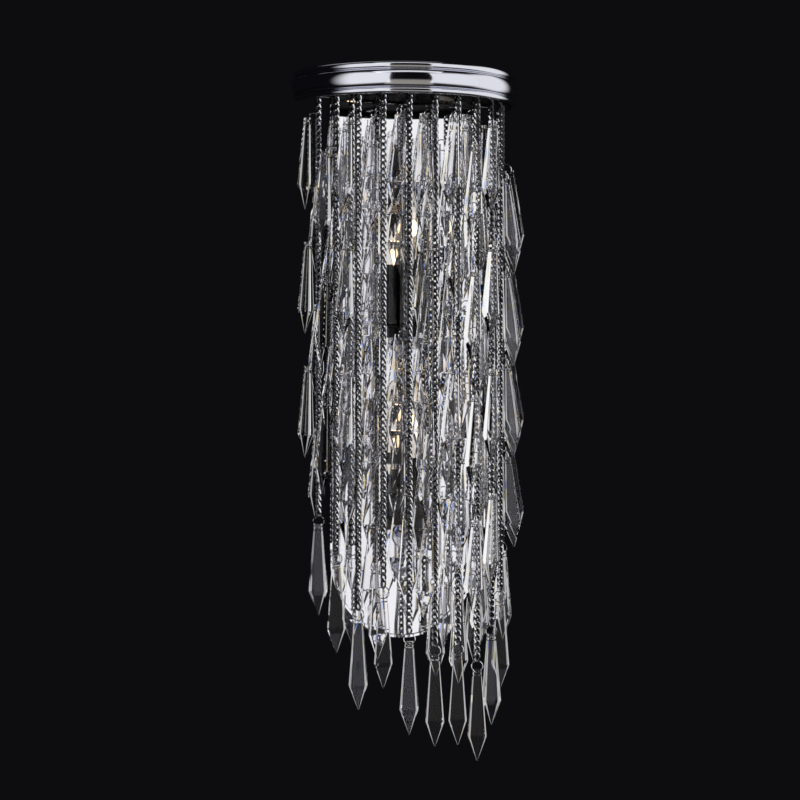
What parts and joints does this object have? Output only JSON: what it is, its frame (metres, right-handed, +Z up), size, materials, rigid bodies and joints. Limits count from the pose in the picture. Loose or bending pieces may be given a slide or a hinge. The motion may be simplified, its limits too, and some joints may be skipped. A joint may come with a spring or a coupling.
{
  "type": "crystal wall sconce",
  "caption": "Half-round chrome canopy hung with chains of pointed crystal drops, in front of a mirror back plate that carries candle lamps on short arms.",
  "frame": {"origin": "on the wall plane at the back of the wall bracket, midway along it, at half the canopy's height", "axes": "+Y into the wall, +Z up along the curtain of strands, +X to the right as seen from the room"},
  "size_m": [0.2284, 0.113, 0.6482],
  "materials": {
    "steel": "zinc plated, satin",
    "chrome": "polished chrome",
    "mirror": "mirror polished",
    "grommet_rubber": "matte",
    "terminal_plastic": "matte",
    "holder_plastic": "matte",
    "sleeve": "glossy black",
    "lead_sheath": "matte",
    "bulb_glass": "clear, lit warm",
    "crystal": "cut clear crystal on chrome chain"
  },
  "bodies": {
    "mount_frame": {"wall_bracket": "steel", "canopy": "chrome", "wall_screw_left": "steel", "wall_screw_right": "steel", "canopy_screw_left": "chrome", "canopy_screw_right": "chrome", "inlet_grommet": "grommet_rubber", "terminal_block": "terminal_plastic", "earth_screw": "steel", "hanger_plate": "steel", "hanger_post_left": "steel", "hanger_post_centre": "steel", "hanger_post_right": "steel", "hanger_screw_left": "steel", "hanger_screw_centre": "steel", "hanger_screw_right": "steel", "mirror_plate": "mirror", "back_rail": "steel", "rail_screw_upper": "steel", "rail_screw_lower": "steel", "plate_spacer_upper": "steel", "plate_spacer_lower": "steel", "plate_screw_upper": "chrome", "plate_screw_lower": "chrome", "lamp_arm_upper": "chrome", "lamp_arm_lower": "chrome", "arm_nut_upper": "steel", "arm_nut_lower": "steel", "lampholder_upper": "holder_plastic", "lampholder_lower": "holder_plastic", "candle_sleeve_upper": "sleeve", "candle_sleeve_lower": "sleeve", "lamp_lead_upper": "lead_sheath", "lamp_lead_lower": "lead_sheath"},
    "bulb_upper": {"bulb_upper": "bulb_glass"},
    "bulb_lower": {"bulb_lower": "bulb_glass"},
    "outer_strand_01": {"outer_strand_01": "crystal"},
    "outer_strand_02": {"outer_strand_02": "crystal"},
    "outer_strand_03": {"outer_strand_03": "crystal"},
    "outer_strand_04": {"outer_strand_04": "crystal"},
    "outer_strand_05": {"outer_strand_05": "crystal"},
    "outer_strand_06": {"outer_strand_06": "crystal"},
    "outer_strand_07": {"outer_strand_07": "crystal"},
    "outer_strand_08": {"outer_strand_08": "crystal"},
    "outer_strand_09": {"outer_strand_09": "crystal"},
    "outer_strand_10": {"outer_strand_10": "crystal"},
    "outer_strand_11": {"outer_strand_11": "crystal"},
    "outer_strand_12": {"outer_strand_12": "crystal"},
    "inner_strand_01": {"inner_strand_01": "crystal"},
    "inner_strand_02": {"inner_strand_02": "crystal"},
    "inner_strand_03": {"inner_strand_03": "crystal"},
    "inner_strand_04": {"inner_strand_04": "crystal"},
    "inner_strand_05": {"inner_strand_05": "crystal"},
    "inner_strand_06": {"inner_strand_06": "crystal"},
    "inner_strand_07": {"inner_strand_07": "crystal"}
  },
  "joints": [
    {"name": "bulb_upper_lift", "type": "slide", "parent": "mount_frame", "child": "bulb_upper", "axis": [0, 0, 1], "range_m": [0, 0.028]},
    {"name": "bulb_lower_lift", "type": "slide", "parent": "mount_frame", "child": "bulb_lower", "axis": [0, 0, 1], "range_m": [0, 0.028]},
    {"name": "outer_strand_01_swing", "type": "hinge", "parent": "mount_frame", "child": "outer_strand_01", "pos_m": [-0.09492, -0.02184, -0.0121], "axis": [-0.2242, 0.9745, 0], "range_deg": [0, 20]},
    {"name": "outer_strand_02_swing", "type": "hinge", "parent": "mount_frame", "child": "outer_strand_02", "pos_m": [-0.08681, -0.04416, -0.0121], "axis": [-0.4534, 0.8913, 0], "range_deg": [0, 20]},
    {"name": "outer_strand_03_swing", "type": "hinge", "parent": "mount_frame", "child": "outer_strand_03", "pos_m": [-0.07354, -0.06386, -0.0121], "axis": [-0.6557, 0.755, 0], "range_deg": [0, 20]},
    {"name": "outer_strand_04_swing", "type": "hinge", "parent": "mount_frame", "child": "outer_strand_04", "pos_m": [-0.05589, -0.07977, -0.0121], "axis": [-0.819, 0.5739, 0], "range_deg": [0, 20]},
    {"name": "outer_strand_05_swing", "type": "hinge", "parent": "mount_frame", "child": "outer_strand_05", "pos_m": [-0.03492, -0.09092, -0.0121], "axis": [-0.9335, 0.3586, 0], "range_deg": [0, 20]},
    {"name": "outer_strand_06_swing", "type": "hinge", "parent": "mount_frame", "child": "outer_strand_06", "pos_m": [-0.01188, -0.09667, -0.0121], "axis": [-0.9925, 0.1219, 0], "range_deg": [0, 20]},
    {"name": "outer_strand_07_swing", "type": "hinge", "parent": "mount_frame", "child": "outer_strand_07", "pos_m": [0.01188, -0.09667, -0.0121], "axis": [-0.9925, -0.1219, 0], "range_deg": [0, 20]},
    {"name": "outer_strand_08_swing", "type": "hinge", "parent": "mount_frame", "child": "outer_strand_08", "pos_m": [0.03492, -0.09092, -0.0121], "axis": [-0.9335, -0.3586, 0], "range_deg": [0, 20]},
    {"name": "outer_strand_09_swing", "type": "hinge", "parent": "mount_frame", "child": "outer_strand_09", "pos_m": [0.05589, -0.07977, -0.0121], "axis": [-0.819, -0.5739, 0], "range_deg": [0, 20]},
    {"name": "outer_strand_10_swing", "type": "hinge", "parent": "mount_frame", "child": "outer_strand_10", "pos_m": [0.07354, -0.06386, -0.0121], "axis": [-0.6557, -0.755, 0], "range_deg": [0, 20]},
    {"name": "outer_strand_11_swing", "type": "hinge", "parent": "mount_frame", "child": "outer_strand_11", "pos_m": [0.08681, -0.04416, -0.0121], "axis": [-0.4534, -0.8913, 0], "range_deg": [0, 20]},
    {"name": "outer_strand_12_swing", "type": "hinge", "parent": "mount_frame", "child": "outer_strand_12", "pos_m": [0.09492, -0.02184, -0.0121], "axis": [-0.2242, -0.9745, 0], "range_deg": [0, 20]},
    {"name": "inner_strand_01_swing", "type": "hinge", "parent": "mount_frame", "child": "inner_strand_01", "pos_m": [-0.06737, -0.03431, -0.0121], "axis": [-0.4538, 0.8911, 0], "range_deg": [-0.8, 0]},
    {"name": "inner_strand_02_swing", "type": "hinge", "parent": "mount_frame", "child": "inner_strand_02", "pos_m": [-0.05059, -0.05618, -0.0121], "axis": [-0.7431, 0.6692, 0], "range_deg": [-0.8, 0]},
    {"name": "inner_strand_03_swing", "type": "hinge", "parent": "mount_frame", "child": "inner_strand_03", "pos_m": [-0.0271, -0.07058, -0.0121], "axis": [-0.9336, 0.3584, 0], "range_deg": [-0.8, 0]},
    {"name": "inner_strand_04_swing", "type": "hinge", "parent": "mount_frame", "child": "inner_strand_04", "pos_m": [0, -0.0756, -0.0121], "axis": [-1, 0, 0], "range_deg": [-0.8, 0]},
    {"name": "inner_strand_05_swing", "type": "hinge", "parent": "mount_frame", "child": "inner_strand_05", "pos_m": [0.0271, -0.07058, -0.0121], "axis": [-0.9336, -0.3584, 0], "range_deg": [-0.8, 0]},
    {"name": "inner_strand_06_swing", "type": "hinge", "parent": "mount_frame", "child": "inner_strand_06", "pos_m": [0.05059, -0.05618, -0.0121], "axis": [-0.7431, -0.6692, 0], "range_deg": [-0.8, 0]},
    {"name": "inner_strand_07_swing", "type": "hinge", "parent": "mount_frame", "child": "inner_strand_07", "pos_m": [0.06737, -0.03431, -0.0121], "axis": [-0.4538, -0.8911, 0], "range_deg": [-0.8, 0]}
  ]
}
